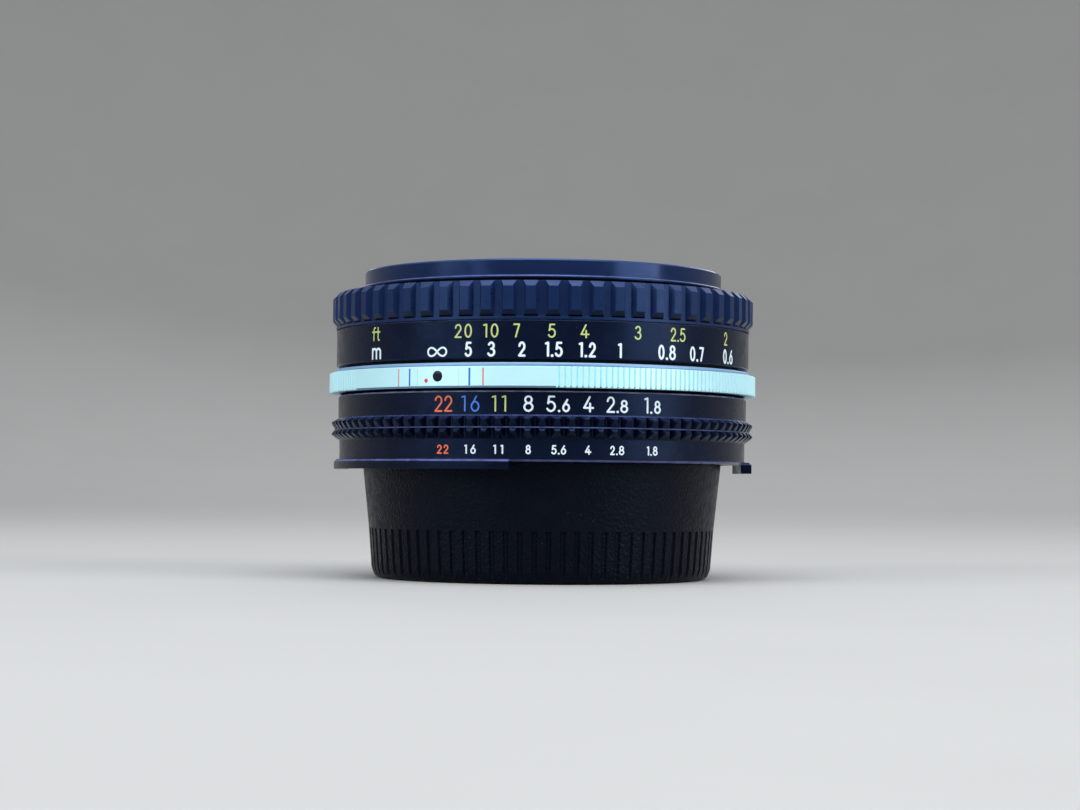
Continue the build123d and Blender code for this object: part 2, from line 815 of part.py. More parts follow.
# ================================================================ aperture ring
row_height = (knurl_front - knurl_back) / knurl_rows
knurl_profile = []
for row in range(knurl_rows):
    row_back = knurl_back + row * row_height
    knurl_profile.append((knurl_waist if row else rear_band_radius + knurl_foot_height, row_back))
    knurl_profile.append((knurl_radius, row_back + row_height * knurl_crest_from))
    knurl_profile.append((knurl_radius, row_back + row_height * knurl_crest_to))

with BuildPart() as knurl_form:
    toothed_prism(
        toothed_outline(knurl_count, knurl_root, knurl_radius, knurl_base, knurl_crest, 0.0),
        knurl_back - past, knurl_front + past, Mode.ADD)
    for row in range(knurl_rows):
        row_front = knurl_back + (row + 1) * row_height
        band(ring_bore, knurl_radius + past, row_front - knurl_ledge, row_front)

with BuildPart() as aperture_ring:
    turned([
        (ring_bore + past, knurl_back),
        *knurl_profile,
        (front_band_radius, knurl_front),
        (ring_bore + past, knurl_front),
    ])
    add(knurl_form.part, mode=Mode.INTERSECT)
    turned([
        (shoulder_radius + run * 2, ring_back),
        (rear_band_radius - rear_band_bevel, ring_back),
        (rear_band_radius, ring_back + rear_band_bevel),
        (rear_band_radius, knurl_back),
        (knurl_root, knurl_back),
        (knurl_root, knurl_front),
        (front_band_radius, knurl_front),
        (front_band_radius, ring_front - front_band_bevel),
        (front_band_radius - front_band_bevel, ring_front),
        (ring_bore, ring_front),
        (ring_bore, mount_top + play),
        (shoulder_radius + run * 2, mount_top + play),
    ])
    for start, end, foot, edge in ((ridge_from, ridge_to, ridge_foot, ridge_radius),
                                   (lug_from, lug_to, ridge_foot - lug_extra_drop, lug_edge)):
        turned_arc([
            (ridge_inner, foot),
            (edge, foot),
            (edge, ridge_top - ridge_bevel),
            (edge - ridge_bevel, ridge_top),
            (ridge_inner, ridge_top),
        ], start, end)
    for stop in stops:
        peg(notch_radius, ring_bore - notch_radius + notch_depth, ball_angle + stop_step * stop,
            mount_top + play, ring_front + past, Mode.SUBTRACT)

# ================================================================ silver grip ring
knurl_end = grip_plain_from + 360.0
knurl_start = knurl_end - grip_knurl_pitch * grip_knurl_count
grip_foot_top = grip_back + grip_foot_height
valley_half = degrees(grip_knurl_valley / 2 / grip_radius)


def ribbed(depth, plain_radius, low, high):
    """A prism with ribs round the knurled part and a plain arc round the smooth part."""
    outline = [at(plain_radius, knurl_start), at(grip_radius, knurl_start)]
    for k in range(grip_knurl_count):
        valley = knurl_start + (k + 0.5) * grip_knurl_pitch
        outline.append(at(grip_radius, valley - valley_half))
        outline.append(at(grip_radius - depth, valley))
        outline.append(at(grip_radius, valley + valley_half))
    outline.append(at(grip_radius, knurl_end))
    if plain_radius < grip_radius:
        outline.append(at(plain_radius, knurl_end))
    else:
        outline.pop(0)
    with BuildSketch(Plane.XY.offset(low)) as section:
        with BuildLine():
            Polyline(*outline)
            ThreePointArc(outline[-1], at(plain_radius, (knurl_start + grip_plain_from) / 2),
                          outline[0])
        make_face()
    extrude(section.sketch, amount=high - low)


with BuildPart() as grip_form:
    ribbed(grip_knurl_depth, grip_radius, grip_foot_top, grip_front + past)
    ribbed(grip_notch_depth, grip_radius - grip_notch_depth, grip_back - past, grip_foot_top)

with BuildPart() as grip_ring:
    turned([
        (tube_outer + seat, grip_back + step_height + seat),
        (step_radius + seat, grip_back + step_height + seat),
        (step_radius + seat, grip_back),
        (grip_radius - grip_break, grip_back),
        (grip_radius, grip_back + grip_break),
        (grip_radius, grip_shoulder - grip_break),
        (grip_radius - grip_break, grip_shoulder),
        (grip_lip_radius - grip_groove, grip_shoulder),
        (grip_lip_radius - grip_groove, grip_shoulder + grip_groove_height),
        (grip_lip_radius, grip_shoulder + grip_groove_height),
        (grip_lip_radius, grip_front - edge_break),
        (grip_lip_radius - edge_break, grip_front),
        (tube_outer + seat, grip_front),
    ])
    add(grip_form.part, mode=Mode.INTERSECT)

# ================================================================ stop-down lever and its spring
fork_top = web_back - fork_headroom
fork_half_gap = degrees(fork_gap / 2 / fork_inner)
fork_half = fork_half_gap + degrees(fork_wall / fork_inner)

with BuildPart() as stop_down_lever:
    band(lever_ring_inner, lever_ring_outer, lever_ring_back, lever_ring_top)
    for side in (-1, 1):
        edges = sorted((fork_angle + side * fork_half_gap, fork_angle + side * fork_half))
        sector(fork_inner, fork_outer, edges[0], edges[1], lever_ring_top - rooted, fork_top)
    sector(lever_inner, lever_outer, lever_angle - lever_half, lever_angle + lever_half,
           flange_face - lever_reach, lever_ring_back + rooted)
    peg(peg_radius, peg_circle, peg_angle, lever_ring_top - rooted, lever_ring_top + peg_height)

spring_height = lip_top + spring_lift
peg_x, peg_y = at(peg_circle + spring_offset, peg_angle)
along_x, along_y = at(1.0, peg_angle + 90.0)
spring_start = (peg_x + spring_hook * along_x, peg_y + spring_hook * along_y, spring_height)

with BuildPart() as lever_spring:
    with BuildLine():
        coil = Helix(pitch=spring_length / spring_turns, height=spring_length,
                     radius=spring_radius - spring_wire, center=spring_start,
                     direction=(along_x, along_y, 0))
    with BuildSketch(Plane(origin=coil @ 0, z_dir=coil % 0)):
        Circle(spring_wire)
    sweep(is_frenet=True)

post_x = peg_x + (spring_length + spring_post_gap) * along_x
post_y = peg_y + (spring_length + spring_post_gap) * along_y

with BuildPart() as spring_post:
    with BuildSketch(Plane.XY.offset(lip_top)):
        with Locations((post_x, post_y)):
            Circle(spring_post_foot)
    extrude(amount=spring_post_foot_height)
    with BuildSketch(Plane.XY.offset(lip_top)):
        with Locations((post_x, post_y)):
            Circle(peg_radius)
    extrude(amount=spring_post_height)

# ================================================================ front barrel
slot_width = key_width + 2 * run
housing_screw_angles = spaced(housing_screw_count, housing_screw_angle)

with BuildPart() as front_barrel:
    turned([
        (web_bore, web_back),
        (front_tube_outer, web_back),
        (front_tube_outer, front_shoulder),
        (neck_radius, front_shoulder),
        (neck_radius, neck_top),
        (front_tube_inner, neck_top),
        (front_tube_inner, web_top),
        (web_bore, web_top),
    ])
    for key_angle in key_angles:
        key_box(key_angle, slot_width, web_back - past, shelf + key_height + 2 * play,
                key_inner - key_slot_fit, front_tube_outer + past, Mode.SUBTRACT)
        key_box(key_angle, key_foot_width + 2 * run, web_back - past, key_screw_top + play,
                key_inner - key_slot_fit, front_tube_outer + past, Mode.SUBTRACT)
    for angle in housing_screw_angles:
        peg(housing_screw_radius + screw_fit, housing_screw_circle, angle,
            web_back - past, web_top + past, Mode.SUBTRACT)

# ================================================================ helicoid sleeve
set_screw_height = sleeve_lip_back + sleeve_lip_height / 2
set_screw_tip = rubber_seat_radius - set_screw_cover
set_screw_foot = set_screw_tip - set_screw_depth
set_screw_angles = spaced(set_screw_count, set_screw_angle)

with BuildPart() as helicoid_sleeve:
    turned([
        (sleeve_inner, shelf + sleeve_rear_gap),
        (sleeve_outer, shelf + sleeve_rear_gap),
        (sleeve_outer, sleeve_lip_back),
        (sleeve_flange_radius, sleeve_lip_back),
        (sleeve_flange_radius, sleeve_front),
        (sleeve_lip_bore, sleeve_front),
        (sleeve_lip_bore, sleeve_lip_back),
        (sleeve_inner, sleeve_lip_back),
    ])
    for angle in set_screw_angles:
        radial_pin(set_screw_point + screw_fit, set_screw_foot - screw_fit,
                   sleeve_flange_radius + past, angle, set_screw_height, Mode.SUBTRACT)

# ================================================================ focus ring, rubber, set screws
with BuildPart() as focus_ring:
    turned([
        (focus_bore, focus_back),
        (focus_radius - edge_break, focus_back),
        (focus_radius, focus_back + edge_break),
        (focus_radius, scale_top - scale_edge),
        (focus_radius - scale_edge, scale_top),
        (rubber_seat_radius, scale_top),
        (rubber_seat_radius, focus_front - edge_break),
        (rubber_seat_radius - edge_break, focus_front),
        (focus_collar_bore, focus_front),
        (focus_collar_bore, sleeve_front + seat),
        (focus_bore, sleeve_front + seat),
    ])
    for angle in set_screw_angles:
        radial_pin(set_screw_radius + screw_fit, focus_bore - past, rubber_seat_radius + past,
                   angle, set_screw_height, Mode.SUBTRACT)

with BuildPart() as focus_set_screws:
    for angle in set_screw_angles:
        radial_pin(set_screw_radius, sleeve_flange_radius + seat, set_screw_tip, angle,
                   set_screw_height)
        radial_pin(set_screw_point, set_screw_foot, set_screw_tip, angle, set_screw_height)

rubber_back = scale_top + seat
rubber_front = focus_front - seat
rubber_strip_top = rubber_back + rubber_strip

with BuildPart() as rubber_grip:
    turned([
        (rubber_seat_radius + seat, rubber_back),
        (rubber_base_radius, rubber_back),
        (rubber_base_radius, rubber_strip_top),
        (rubber_crest_radius, rubber_strip_top + rubber_bottom_bevel),
        (rubber_crest_radius, rubber_front - rubber_top_bevel),
        (rubber_base_radius, rubber_front),
        (rubber_seat_radius + seat, rubber_front),
    ])
    toothed_prism(
        toothed_outline(rubber_pad_count, rubber_base_radius, rubber_crest_radius,
                        rubber_pad_base, rubber_pad_crest, rubber_pad_phase),
        rubber_back - past, rubber_front + past)
    band(rubber_seat_radius + seat, focus_radius + rubber_strip_rise, rubber_back, rubber_strip_top)

# ================================================================ filter ring and name ring
with BuildPart() as filter_ring:
    turned([
        (neck_radius + seat, filter_back),
        (filter_lip_radius - edge_break, filter_back),
        (filter_lip_radius, filter_back + edge_break),
        (filter_lip_radius, filter_back + filter_lip_height - edge_break),
        (filter_lip_radius - edge_break, filter_back + filter_lip_height),
        (filter_radius, filter_back + filter_lip_height),
        (filter_radius, filter_front - filter_edge),
        (filter_radius - filter_edge, filter_front),
        (filter_thread_major, filter_front),
        (filter_thread_major, neck_top + seat),
        (neck_radius + seat, neck_top + seat),
    ])

with BuildPart() as name_ring:
    turned([
        (front_tube_inner - seat, name_rim_top - name_ring_rim),
        (front_tube_inner - seat, name_rim_top),
        (front_tube_inner - name_ring_land, name_rim_top),
        (name_ring_bore + name_ring_bevel, name_inner_top),
        (name_ring_bore, name_inner_top - name_ring_bevel_height),
        (name_ring_bore, name_bottom),
        (front_tube_inner - name_ring_foot, name_rim_top - name_ring_rim),
    ])

# ================================================================ glass
with BuildPart() as front_element:
    glass(g1_front, g1_front_curve, g1_back, g1_back_curve, g1_rim)

with BuildPart() as second_element:
    glass(g2_front, g2_front_curve, g2_back, g2_back_curve, g2_rim)

with BuildPart() as third_element:
    glass(g3_front, g3_front_curve, g3_back, g3_back_curve, g3_rim, back_clear=g3_clear)

with BuildPart() as fourth_element:
    glass(g4_front, g4_front_curve, g4_back, g4_back_curve, g4_rim, front_clear=g4_clear)

with BuildPart() as fifth_element:
    glass(g4_back, g4_back_curve, g5_back, g5_back_curve, g4_rim)

with BuildPart() as rear_element:
    glass(g6_front, g6_front_curve, g6_back, g6_back_curve, g4_rim)

# ================================================================ front cell
collar_back = web_top + seat
g1_ring_bore = g1_rim - front_retainer_hold
g2_ring_bore = g2_rim - second_retainer_hold
g1_ring_back = g1_front + sag(g1_front_curve, g1_ring_bore) + seat
g2_ring_back = g2_front + sag(g2_front_curve, g2_ring_bore) + seat
g1_bore = g1_rim + glass_fit
g2_bore = g2_rim + glass_fit
g3_bore = g3_rim + glass_fit
cell_lip_bore = g3_clear + cell_fit

with BuildPart() as front_cell:
    turned([
        (cell_lip_bore, cell_bottom),
        (front_cell_neck, cell_bottom),
        (front_cell_neck, web_back - cell_fit),
        (front_cell_radius, web_back - cell_fit),
        (front_cell_radius, collar_back),
        (front_cell_collar_radius, collar_back),
        (front_cell_collar_radius, collar_back + front_cell_collar_height),
        (front_cell_radius, collar_back + front_cell_collar_height),
        (front_cell_radius, cell_top),
        (g1_thread, cell_top),
        (g1_thread, g1_edge),
        (g1_bore, g1_edge),
        (g1_bore, g1_seat),
        (g2_thread, g1_seat),
        (g2_thread, g2_ring_back - cell_fit),
        (g2_bore, g2_ring_back - cell_fit),
        (g2_bore, g2_seat),
        (g3_bore, g2_seat),
        (g3_bore, g3_seat),
        (cell_lip_bore, g3_seat),
    ])

with BuildPart() as front_retainer:
    band(g1_ring_bore, g1_thread - seat, g1_ring_back, g1_ring_back + retainer_height)

with BuildPart() as second_retainer:
    band(g2_ring_bore, g2_thread - seat, g2_ring_back, g2_ring_back + retainer_height)

with BuildPart() as front_spacer:
    outer = g3_rim - spacer_fit
    inner = outer - front_spacer_width
    band(inner, outer, g3_front + sag(g3_front_curve, inner) + seat,
         g2_back + sag(g2_back_curve, outer) - seat)

# ================================================================ iris housing and its screws
housing_face = web_back - seat - housing_flange_height
blade_angles = spaced(blade_count, 0.0)
blade_turn = 2 * degrees(asin((blade_inner - smallest_hole) / 2 / blade_pivot_circle))
tab_half = degrees(rod_radius / fork_inner)
window_half = tab_half + window_margin

with BuildPart() as iris_housing:
    turned([
        (housing_bore, housing_back),
        (housing_radius, housing_back),
        (housing_radius, housing_face),
        (housing_flange, housing_face),
        (housing_flange, web_back - seat),
        (wall_inner, web_back - seat),
        (wall_inner, stack_bottom),
        (housing_bore, stack_bottom),
    ])
    for angle in blade_angles:
        peg(blade_pin_radius + screw_fit, blade_pivot_circle, angle,
            housing_back - past, stack_bottom + past, Mode.SUBTRACT)
    sector(wall_inner - rooted, housing_radius + rooted, fork_angle - drive_turn - window_half,
           fork_angle + window_half, ring_base - play, ring_top + play, Mode.SUBTRACT)
    for angle in housing_screw_angles:
        peg(housing_screw_radius + screw_fit, housing_screw_circle, angle,
            housing_face - past, web_back + past, Mode.SUBTRACT)

with BuildPart() as housing_screws:
    for angle in housing_screw_angles:
        peg(housing_screw_head, housing_screw_circle, angle,
            housing_face - housing_screw_head_height, housing_face)
        peg(housing_screw_radius, housing_screw_circle, angle, housing_face, web_top)

# ================================================================ iris blades
# Each blade is a flat arc that swings about its own pivot pin. Seen from the front, it turns
# clockwise from the smallest hole, at rest, to the widest.
arm_open = -degrees(
    atan2(sqrt(1 - ((pin_circle_open**2 - blade_pivot_circle**2 - blade_pin_arm**2)
                    / (2 * blade_pivot_circle * blade_pin_arm))**2),
          (pin_circle_open**2 - blade_pivot_circle**2 - blade_pin_arm**2)
          / (2 * blade_pivot_circle * blade_pin_arm)))


def drive_pin(opening):
    """Place of a blade's drive pin, for a pivot on -Y, from closed (0) to open (1)."""
    swing = radians(arm_open + blade_turn * (1 - opening))
    out = blade_pivot_circle + blade_pin_arm * cos(swing)
    side = blade_pin_arm * sin(swing)
    return hypot(out, side), degrees(atan2(side, out))


def make_blade(index):
    """One iris blade with its two pins, in its rest place."""
    low = blade_base + index * blade_pitch
    pin_circle, pin_angle = drive_pin(1)
    with BuildSketch() as outline:
        add(sector_face(blade_inner, blade_outer, blade_from, blade_to))
        with BuildSketch(mode=Mode.PRIVATE) as root:
            with Locations(at(blade_pivot_circle, 0)):
                Circle(blade_boss)
            with Locations(at(blade_outer, blade_from + blade_root_turn)):
                Circle(blade_boss)
            make_hull()
        add(root.sketch)
        with BuildSketch(mode=Mode.PRIVATE) as ear:
            with Locations(at(blade_pivot_circle, 0)):
                Circle(blade_boss)
            with Locations(at(pin_circle, pin_angle)):
                Circle(blade_pin_eye)
            make_hull()
        add(ear.sketch)
    with BuildPart() as leaf:
        extrude(outline.sketch.moved(Location((0, 0, low))), amount=blade_thickness)
        peg(blade_pin_radius, blade_pivot_circle, 0, housing_back + blade_lift,
            low + blade_thickness)
        peg(blade_pin_radius, pin_circle, pin_angle, low, ring_top - pin_end_play)
    pivot = Axis((*at(blade_pivot_circle, 0), 0), (0, 0, 1))
    return leaf.part.rotate(pivot, blade_turn).rotate(Axis.Z, 360.0 * index / blade_count)


iris_blades = []
for index in range(blade_count):
    with BuildPart() as blade:
        add(make_blade(index))
    blade.part.label = f"iris_blade_{index + 1}"
    iris_blades.append(blade)

# ================================================================ iris drive ring and its clip
slot_points = []
for opening in (0, 0.5, 1):
    pin_circle, pin_angle = drive_pin(opening)
    slot_points.append((pin_circle, pin_angle + drive_turn * opening))

with BuildPart() as iris_drive_ring:
    band(drive_ring_inner, drive_ring_outer, ring_base, ring_top)
    for angle in blade_angles:
        with BuildSketch(Plane.XY.offset(ring_base)) as cam:
            with BuildLine(mode=Mode.PRIVATE) as path:
                ThreePointArc(*[at(circle, turn + angle) for circle, turn in slot_points])
            SlotArc(arc=path.wire(), height=2 * (blade_pin_radius + cam_clearance))
        extrude(cam.sketch, amount=drive_ring_height, mode=Mode.SUBTRACT)
    sector(drive_ring_outer - rooted, fork_outer - seat, fork_angle - tab_half,
           fork_angle + tab_half, ring_base, ring_top)
    peg(rod_radius, fork_middle, fork_angle, lever_ring_top + rod_clearance, ring_top)

clip_back = ring_top + clip_lift
clip_outer = wall_inner - seat

with BuildPart() as iris_clip:
    sector(clip_outer - clip_width, clip_outer, fork_angle + clip_gap / 2,
           fork_angle + 360.0 - clip_gap / 2, clip_back, clip_back + clip_height)

# ================================================================ rear cell
rear_ring_bore = g4_rim - rear_retainer_hold
rear_ring_top = g6_back + sag(g6_back_curve, rear_ring_bore) - seat
cell_back = rear_ring_top - rear_cell_tail
flange_front = housing_back - seat

with BuildPart() as rear_cell:
    turned([
        (rear_bore, cell_back),
        (rear_cell_radius, cell_back),
        (rear_cell_radius, flange_front - rear_cell_flange_height),
        (rear_cell_flange, flange_front - rear_cell_flange_height),
        (rear_cell_flange, flange_front),
        (rear_cell_spigot, flange_front),
        (rear_cell_spigot, g4_top + rear_cell_lip),
        (g4_clear - rear_cell_lip_hold, g4_top + rear_cell_lip),
        (g4_clear - rear_cell_lip_hold, g4_top),
        (rear_bore, g4_top),
    ])

with BuildPart() as rear_spacer:
    inner = g4_rim - rear_spacer_width
    band(inner, g4_rim, g6_front + sag(g6_front_curve, inner) + seat,
         g5_back + sag(g5_back_curve, inner) - seat)

with BuildPart() as rear_retainer:
    band(rear_ring_bore, rear_bore - seat, cell_back + rear_retainer_setback, rear_ring_top)

# ================================================================ labels and files
pieces = {
    "rear_cap": rear_cap,
    "bayonet_mount": bayonet_mount,
    "mount_screws": mount_screws,
    "rear_baffle": rear_baffle,
    "baffle_screws": baffle_screws,
    "mount_barrel": mount_barrel,
    "guide_keys": guide_keys,
    "key_screws": key_screws,
    "detent_ball": detent_ball,
    "detent_spring": detent_spring,
    "detent_screw": detent_screw,
    "aperture_ring": aperture_ring,
    "grip_ring": grip_ring,
    "stop_down_lever": stop_down_lever,
    "lever_spring": lever_spring,
    "spring_post": spring_post,
    "front_barrel": front_barrel,
    "helicoid_sleeve": helicoid_sleeve,
    "focus_ring": focus_ring,
    "focus_set_screws": focus_set_screws,
    "rubber_grip": rubber_grip,
    "filter_ring": filter_ring,
    "name_ring": name_ring,
    "front_element": front_element,
    "second_element": second_element,
    "third_element": third_element,
    "fourth_element": fourth_element,
    "fifth_element": fifth_element,
    "rear_element": rear_element,
    "front_cell": front_cell,
    "front_retainer": front_retainer,
    "second_retainer": second_retainer,
    "front_spacer": front_spacer,
    "iris_housing": iris_housing,
    "housing_screws": housing_screws,
    "iris_drive_ring": iris_drive_ring,
    "iris_clip": iris_clip,
    "rear_cell": rear_cell,
    "rear_spacer": rear_spacer,
    "rear_retainer": rear_retainer,
}
for index, blade in enumerate(iris_blades):
    pieces[f"iris_blade_{index + 1}"] = blade

for name, piece in pieces.items():
    piece.part.label = name
    export_step(piece.part, f"parts/{name}.step")
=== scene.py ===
import json
from math import ceil, cos, pi, radians, sin

import bmesh
import bpy
from mathutils import Matrix, Vector

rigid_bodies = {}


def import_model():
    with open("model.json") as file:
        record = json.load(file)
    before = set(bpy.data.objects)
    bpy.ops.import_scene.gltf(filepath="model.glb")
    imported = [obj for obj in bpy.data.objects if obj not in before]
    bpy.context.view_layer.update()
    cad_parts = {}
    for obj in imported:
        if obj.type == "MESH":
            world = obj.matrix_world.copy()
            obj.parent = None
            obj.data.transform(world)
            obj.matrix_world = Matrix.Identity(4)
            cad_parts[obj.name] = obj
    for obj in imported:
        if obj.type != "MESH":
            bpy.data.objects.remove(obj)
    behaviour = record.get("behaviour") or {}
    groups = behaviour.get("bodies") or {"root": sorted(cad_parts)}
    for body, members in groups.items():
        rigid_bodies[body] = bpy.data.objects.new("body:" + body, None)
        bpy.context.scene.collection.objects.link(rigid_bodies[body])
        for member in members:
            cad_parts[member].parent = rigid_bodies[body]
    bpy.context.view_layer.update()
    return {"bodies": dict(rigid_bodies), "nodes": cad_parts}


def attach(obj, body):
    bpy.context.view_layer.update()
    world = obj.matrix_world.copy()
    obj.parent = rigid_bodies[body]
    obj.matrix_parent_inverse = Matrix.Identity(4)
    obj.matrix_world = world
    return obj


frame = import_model()
bodies, nodes = frame["bodies"], frame["nodes"]
scene = bpy.context.scene

MM = 0.001

# ------------------------------------------------------------------ sizes, in millimetres
FOCUS_R = 30.72         # distance scale band
APERTURE_R = 30.4       # large aperture numerals
REAR_R = 30.2           # small aperture numerals
GRIP_R = 31.75          # silver ring
THREAD_MAJOR = 26.0
THREAD_MINOR = 25.6
THREAD_PITCH = 0.75
THREAD_FROM, THREAD_TO = 42.85, 45.1
METRES_FOOT, FEET_FOOT = 31.35, 33.97
STOPS_FOOT, SMALL_STOPS_FOOT = 23.83, 18.04
MARK_FOOT, MARK_HEIGHT = 27.4, 2.4      # depth of field marks
SUNK = 0.05             # how deep paint reaches into the surface under it


# ------------------------------------------------------------------ materials
class Surface:
    """A Principled material with helpers that add procedural detail to it."""

    def __init__(self, name, colour, roughness, metallic=0.0, specular=0.5, tint=None):
        self.material = bpy.data.materials.new(name)
        self.material.use_nodes = True
        self.tree = self.material.node_tree
        self.bsdf = self.tree.nodes["Principled BSDF"]
        self.bsdf.inputs["Base Color"].default_value = (*colour, 1.0)
        self.bsdf.inputs["Roughness"].default_value = roughness
        self.bsdf.inputs["Metallic"].default_value = metallic
        self.bsdf.inputs["Specular IOR Level"].default_value = specular
        if tint:
            self.bsdf.inputs["Specular Tint"].default_value = (*tint, 1.0)
        self.colour, self.roughness = colour, roughness
        self.normal = None
        self.coordinates = self.node("ShaderNodeTexCoord").outputs
        self.where = self.coordinates["Object"]

    def node(self, kind, **settings):
        made = self.tree.nodes.new(kind)
        for key, value in settings.items():
            setattr(made, key, value)
        return made

    def link(self, source, target):
        self.tree.links.new(source, target)

    def edges(self, radius):
        """Rounds sharp edges in the shading, so that they catch the light."""
        bevel = self.node("ShaderNodeBevel", samples=4)
        bevel.inputs["Radius"].default_value = radius * MM
        self.normal = bevel.outputs["Normal"]
        self.link(self.normal, self.bsdf.inputs["Normal"])

    def bump(self, height, depth):
        """Adds a texture's height, whose depth is in millimetres, to the surface's normal."""
        node = self.node("ShaderNodeBump")
        node.inputs["Strength"].default_value = 1.0
        node.inputs["Distance"].default_value = depth * MM
        self.link(height, node.inputs["Height"])
        if self.normal:
            self.link(self.normal, node.inputs["Normal"])
        self.normal = node.outputs["Normal"]
        self.link(self.normal, self.bsdf.inputs["Normal"])

    def noise(self, size, detail=2.0, rough=0.5, where=None):
        """Noise with features of about a size in millimetres."""
        node = self.node("ShaderNodeTexNoise")
        node.inputs["Scale"].default_value = 1.0 / (size * MM)
        node.inputs["Detail"].default_value = detail
        node.inputs["Roughness"].default_value = rough
        self.link(where or self.where, node.inputs["Vector"])
        return node.outputs["Fac"]

    def round_axis(self):
        """Coordinates (radius, height, 0): the same all the way round the optical axis."""
        split = self.node("ShaderNodeSeparateXYZ")
        self.link(self.where, split.inputs[0])
        flat = self.node("ShaderNodeCombineXYZ")
        self.link(split.outputs[0], flat.inputs[0])
        self.link(split.outputs[1], flat.inputs[1])
        length = self.node("ShaderNodeVectorMath", operation="LENGTH")
        self.link(flat.outputs[0], length.inputs[0])
        joined = self.node("ShaderNodeCombineXYZ")
        self.link(length.outputs["Value"], joined.inputs[0])
        self.link(split.outputs[2], joined.inputs[1])
        return joined.outputs[0]

    def ramp(self, value, low, high, start=0.35, end=0.65):
        """Maps a texture value to a range of plain values."""
        node = self.node("ShaderNodeMapRange")
        for socket, number in zip(("From Min", "From Max", "To Min", "To Max"),
                                  (start, end, low, high)):
            node.inputs[socket].default_value = number
        self.link(value, node.inputs["Value"])
        return node.outputs["Result"]

    def vary_roughness(self, value, spread):
        """Spreads the roughness either side of its base value by a texture value."""
        low, high = self.roughness - spread, self.roughness + spread
        self.link(self.ramp(value, low, high), self.bsdf.inputs["Roughness"])

    def mix_colour(self, value, other):
        """Blends the base colour towards another by a texture value."""
        node = self.node("ShaderNodeMix", data_type="RGBA")
        node.inputs[6].default_value = (*self.colour, 1.0)
        current = self.bsdf.inputs["Base Color"]
        if current.is_linked:
            self.link(current.links[0].from_socket, node.inputs[6])
        node.inputs[7].default_value = (*other, 1.0)
        self.link(value, node.inputs[0])
        self.link(node.outputs[2], current)

    def inside(self, radius):
        """One nearer the optical axis than a radius in millimetres, zero outside it."""
        split = self.node("ShaderNodeSeparateXYZ")
        self.link(self.round_axis(), split.inputs[0])
        return self.ramp(split.outputs[0], 1.0, 0.0, (radius - 0.05) * MM, (radius + 0.05) * MM)

    def facing(self, start, end):
        """Zero to one as the normal's part along the optical axis runs from start to end."""
        split = self.node("ShaderNodeSeparateXYZ")
        self.link(self.coordinates["Normal"], split.inputs[0])
        return self.ramp(split.outputs[2], 0.0, 1.0, start, end)

    def turned(self, pitch, depth):
        """Fine tool marks that run round the axis."""
        marks = self.noise(pitch, 3.0, 0.6, self.round_axis())
        self.bump(marks, depth)
        return marks

    def lines(self, heights, colour, least=0.5):
        """Paints bands of highlight and shade that run round the axis: each has a height and a
        half width.
        """
        split = self.node("ShaderNodeSeparateXYZ")
        self.link(self.where, split.inputs[0])
        uneven = self.ramp(self.noise(1.6, 3.0), least, 1.0)
        for height, half in heights:
            away = self.node("ShaderNodeMath", operation="SUBTRACT")
            away.inputs[1].default_value = height * MM
            self.link(split.outputs[2], away.inputs[0])
            span = self.node("ShaderNodeMath", operation="ABSOLUTE")
            self.link(away.outputs[0], span.inputs[0])
            both = self.node("ShaderNodeMath", operation="MULTIPLY")
            near = self.ramp(span.outputs[0], 1.0, 0.0, half * 0.6 * MM, half * MM)
            self.link(near, both.inputs[0])
            self.link(uneven, both.inputs[1])
            self.mix_colour(both.outputs[0], colour)

    def specks(self, spacing, size, colour, share=0.3):
        """Sparse lighter specks: dust, and on the cap also painted glints."""
        cells = self.node("ShaderNodeTexVoronoi")
        cells.inputs["Scale"].default_value = 1.0 / (spacing * MM)
        self.link(self.where, cells.inputs["Vector"])
        near = self.ramp(cells.outputs["Distance"], 1.0, 0.0, size / spacing * 0.6, size / spacing)
        split = self.node("ShaderNodeSeparateColor")
        self.link(cells.outputs["Color"], split.inputs[0])
        some = self.ramp(split.outputs[0], 1.0, 0.0, share * 0.9, share)
        both = self.node("ShaderNodeMath", operation="MULTIPLY")
        self.link(near, both.inputs[0])
        self.link(some, both.inputs[1])
        self.mix_colour(both.outputs[0], colour)


def black_metal(name, colour, roughness, specular, tint, marks=0.004, edge=0.14):
    """Turned metal under black enamel."""
    surface = Surface(name, colour, roughness, 0.0, specular, tint)
    surface.edges(edge)
    fine = surface.turned(0.12, marks)
    surface.vary_roughness(surface.noise(2.5, 3.0), 0.05)
    surface.mix_colour(surface.ramp(fine, 0.0, 0.35), tuple(c * 1.8 for c in colour))
    return surface


def bright_metal(name, colour, roughness, pitch=0.1, depth=0.004, edge=0.06):
    """Turned bare metal."""
    surface = Surface(name, colour, roughness, 1.0)
    surface.edges(edge)
    marks = surface.turned(pitch, depth)
    surface.vary_roughness(marks, 0.06)
    surface.mix_colour(surface.ramp(surface.noise(3.0, 3.0), 0.0, 0.25),
                       tuple(c * 0.86 for c in colour))
    return surface


NAVY = (0.24, 0.44, 1.0)        # the blue light that the photo's blacks reflect

ring_black = black_metal("black_enamel", (0.0013, 0.0021, 0.0085), 0.28, 0.32, NAVY)
# painted highlight: a bright line along the front band's top edge
ring_black.lines([(26.66, 0.12)], (0.36, 0.42, 0.65))
# painted highlights along the knurl's upper ledges
ring_black.lines([(23.36, 0.13), (21.74, 0.1)], (0.055, 0.075, 0.2))
# painted shade: the face of the ridge is darkened
ring_black.lines([(16.45, 0.6)], (0.0004, 0.0006, 0.002), 0.9)
# painted highlight along the ridge's top edge
ring_black.lines([(17.2, 0.16)], (0.11, 0.13, 0.34))
# painted highlight: a lighter band just below the knurl's top ledge
ring_black.lines([(23.1, 0.2)], (0.012, 0.018, 0.07))
ring_black.specks(1.3, 0.05, (0.1, 0.13, 0.2), 0.1)

